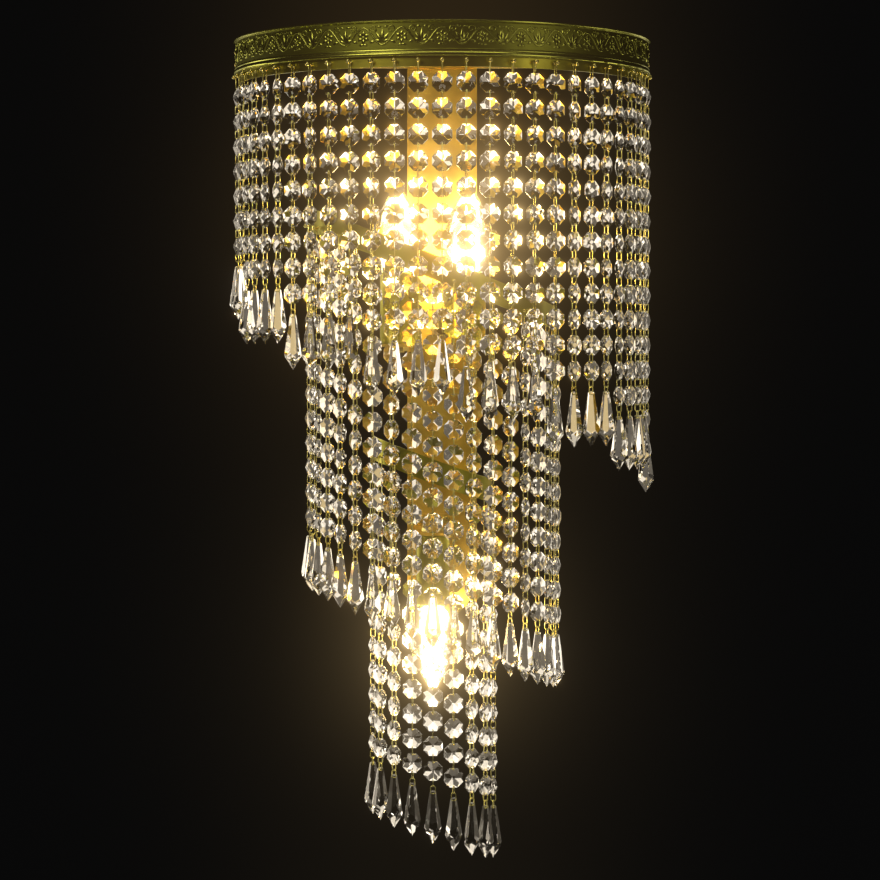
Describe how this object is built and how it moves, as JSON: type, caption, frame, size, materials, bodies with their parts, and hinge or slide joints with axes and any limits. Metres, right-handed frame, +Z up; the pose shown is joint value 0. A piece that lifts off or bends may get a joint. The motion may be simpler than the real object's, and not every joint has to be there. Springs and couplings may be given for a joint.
{
  "type": "crystal wall sconce",
  "caption": "Half-round wall light with a pressed brass band and three falling tiers of cut-crystal octagon strands ending in drops, lit by candle bulbs.",
  "frame": {"origin": "centre of the wall plate's back face, midway between its two fixing holes and on the cable entry's axis", "axes": "+Z up, +Y into the wall, +X to the right as seen from the room; the front faces -Y"},
  "size_m": [0.3024, 0.153, 0.5862],
  "materials": {
    "satin_brass": "satin lacquered brass",
    "polished_brass": "polished lacquered brass",
    "embossed_brass": "pressed scroll relief, antique polish",
    "pin_brass": "polished",
    "screw_brass": "plated",
    "link_brass": "bright wire",
    "crystal": "clear cut crystal",
    "bulb_glass": "clear glass, lit filament",
    "bulb_cap": "rolled screw cap",
    "holder_porcelain": "cream, heat resistant",
    "bush_plastic": "moulded",
    "contact_steel": "spring strip"
  },
  "bodies": {
    "root": {"wall_plate": "satin_brass", "cable_bush": "bush_plastic", "frame_screws": "screw_brass", "rim_hoop": "polished_brass", "top_band": "embossed_brass", "band_rivets": "screw_brass", "upper_crossbar": "satin_brass", "middle_hoop": "polished_brass", "middle_crossbar": "satin_brass", "lower_hoop": "polished_brass", "lower_crossbar": "satin_brass", "hook_pins": "pin_brass", "upper_lamp_bracket": "satin_brass", "lower_lamp_bracket": "satin_brass", "lamp_nipples": "screw_brass", "lamp_contacts": "contact_steel", "lampholder_left": "holder_porcelain", "lampholder_right": "holder_porcelain", "lampholder_lower": "holder_porcelain", "sleeve_left": "polished_brass", "sleeve_right": "polished_brass", "sleeve_lower": "polished_brass"},
    "upper_strands_1": {"crystals_upper_1": "crystal", "links_upper_1": "link_brass"},
    "upper_strands_2": {"crystals_upper_2": "crystal", "links_upper_2": "link_brass"},
    "upper_strands_3": {"crystals_upper_3": "crystal", "links_upper_3": "link_brass"},
    "upper_strands_4": {"crystals_upper_4": "crystal", "links_upper_4": "link_brass"},
    "upper_strands_5": {"crystals_upper_5": "crystal", "links_upper_5": "link_brass"},
    "upper_strands_6": {"crystals_upper_6": "crystal", "links_upper_6": "link_brass"},
    "upper_strands_7": {"crystals_upper_7": "crystal", "links_upper_7": "link_brass"},
    "upper_strands_8": {"crystals_upper_8": "crystal", "links_upper_8": "link_brass"},
    "middle_strands_1": {"crystals_middle_1": "crystal", "links_middle_1": "link_brass"},
    "middle_strands_2": {"crystals_middle_2": "crystal", "links_middle_2": "link_brass"},
    "middle_strands_3": {"crystals_middle_3": "crystal", "links_middle_3": "link_brass"},
    "middle_strands_4": {"crystals_middle_4": "crystal", "links_middle_4": "link_brass"},
    "middle_strands_5": {"crystals_middle_5": "crystal", "links_middle_5": "link_brass"},
    "lower_strands_1": {"crystals_lower_1": "crystal", "links_lower_1": "link_brass"},
    "lower_strands_2": {"crystals_lower_2": "crystal", "links_lower_2": "link_brass"},
    "lower_strands_3": {"crystals_lower_3": "crystal", "links_lower_3": "link_brass"},
    "bulb_left": {"bulb_glass_left": "bulb_glass", "bulb_cap_left": "bulb_cap"},
    "bulb_right": {"bulb_glass_right": "bulb_glass", "bulb_cap_right": "bulb_cap"},
    "bulb_lower": {"bulb_glass_lower": "bulb_glass", "bulb_cap_lower": "bulb_cap"}
  },
  "joints": [
    {"name": "upper_swing_1", "type": "hinge", "parent": "root", "child": "upper_strands_1", "pos_m": [-0.14378, -0.02923, 0.1786], "axis": [-0.1992, 0.98, 0], "range_deg": [-1, 12]},
    {"name": "upper_swing_2", "type": "hinge", "parent": "root", "child": "upper_strands_2", "pos_m": [-0.12588, -0.07365, 0.1786], "axis": [-0.505, 0.8631, 0], "range_deg": [-1, 12]},
    {"name": "upper_swing_3", "type": "hinge", "parent": "root", "child": "upper_strands_3", "pos_m": [-0.0827, -0.12013, 0.1786], "axis": [-0.8237, 0.567, 0], "range_deg": [-1, 12]},
    {"name": "upper_swing_4", "type": "hinge", "parent": "root", "child": "upper_strands_4", "pos_m": [-0.02387, -0.14388, 0.1786], "axis": [-0.9865, 0.1637, 0], "range_deg": [-1, 12]},
    {"name": "upper_swing_5", "type": "hinge", "parent": "root", "child": "upper_strands_5", "pos_m": [0.03947, -0.1404, 0.1786], "axis": [-0.9627, -0.2706, 0], "range_deg": [-1, 12]},
    {"name": "upper_swing_6", "type": "hinge", "parent": "root", "child": "upper_strands_6", "pos_m": [0.09534, -0.11036, 0.1786], "axis": [-0.7567, -0.6538, 0], "range_deg": [-1, 12]},
    {"name": "upper_swing_7", "type": "hinge", "parent": "root", "child": "upper_strands_7", "pos_m": [0.13318, -0.05944, 0.1786], "axis": [-0.4076, -0.9132, 0], "range_deg": [-1, 12]},
    {"name": "upper_swing_8", "type": "hinge", "parent": "root", "child": "upper_strands_8", "pos_m": [0.14539, -0.02134, 0.1786], "axis": [-0.1452, -0.9894, 0], "range_deg": [-1, 12]},
    {"name": "middle_swing_1", "type": "hinge", "parent": "root", "child": "middle_strands_1", "pos_m": [-0.08886, -0.02998, 0.07114], "axis": [-0.3389, 0.931, 0.1355], "range_deg": [-0.5, 12]},
    {"name": "middle_swing_2", "type": "hinge", "parent": "root", "child": "middle_strands_2", "pos_m": [-0.0538, -0.07378, 0.05712], "axis": [-0.7978, 0.5115, 0.3191], "range_deg": [-0.5, 12]},
    {"name": "middle_swing_3", "type": "hinge", "parent": "root", "child": "middle_strands_3", "pos_m": [-0.0065, -0.08833, 0.0382], "axis": [-0.9285, 0, 0.3714], "range_deg": [-0.5, 12]},
    {"name": "middle_swing_4", "type": "hinge", "parent": "root", "child": "middle_strands_4", "pos_m": [0.0408, -0.07378, 0.01928], "axis": [-0.7978, -0.5115, 0.3191], "range_deg": [-0.5, 12]},
    {"name": "middle_swing_5", "type": "hinge", "parent": "root", "child": "middle_strands_5", "pos_m": [0.07586, -0.02998, 0.00526], "axis": [-0.3389, -0.931, 0.1355], "range_deg": [-0.5, 12]},
    {"name": "lower_swing_1", "type": "hinge", "parent": "root", "child": "lower_strands_1", "pos_m": [-0.0427, -0.02297, -0.09203], "axis": [-0.5261, 0.829, 0.1894], "range_deg": [0, 10]},
    {"name": "lower_swing_2", "type": "hinge", "parent": "root", "child": "lower_strands_2", "pos_m": [-0.0065, -0.04287, -0.10506], "axis": [-0.9409, 0, 0.3387], "range_deg": [0, 10]},
    {"name": "lower_swing_3", "type": "hinge", "parent": "root", "child": "lower_strands_3", "pos_m": [0.0297, -0.02297, -0.11809], "axis": [-0.5261, -0.829, 0.1894], "range_deg": [0, 10]},
    {"name": "bulb_left_out", "type": "slide", "parent": "root", "child": "bulb_left", "axis": [0, 0, 1], "range_m": [0, 0.028]},
    {"name": "bulb_right_out", "type": "slide", "parent": "root", "child": "bulb_right", "axis": [0, 0, 1], "range_m": [0, 0.028]},
    {"name": "bulb_lower_out", "type": "slide", "parent": "root", "child": "bulb_lower", "axis": [0, 0, -1], "range_m": [0, 0.028]}
  ]
}
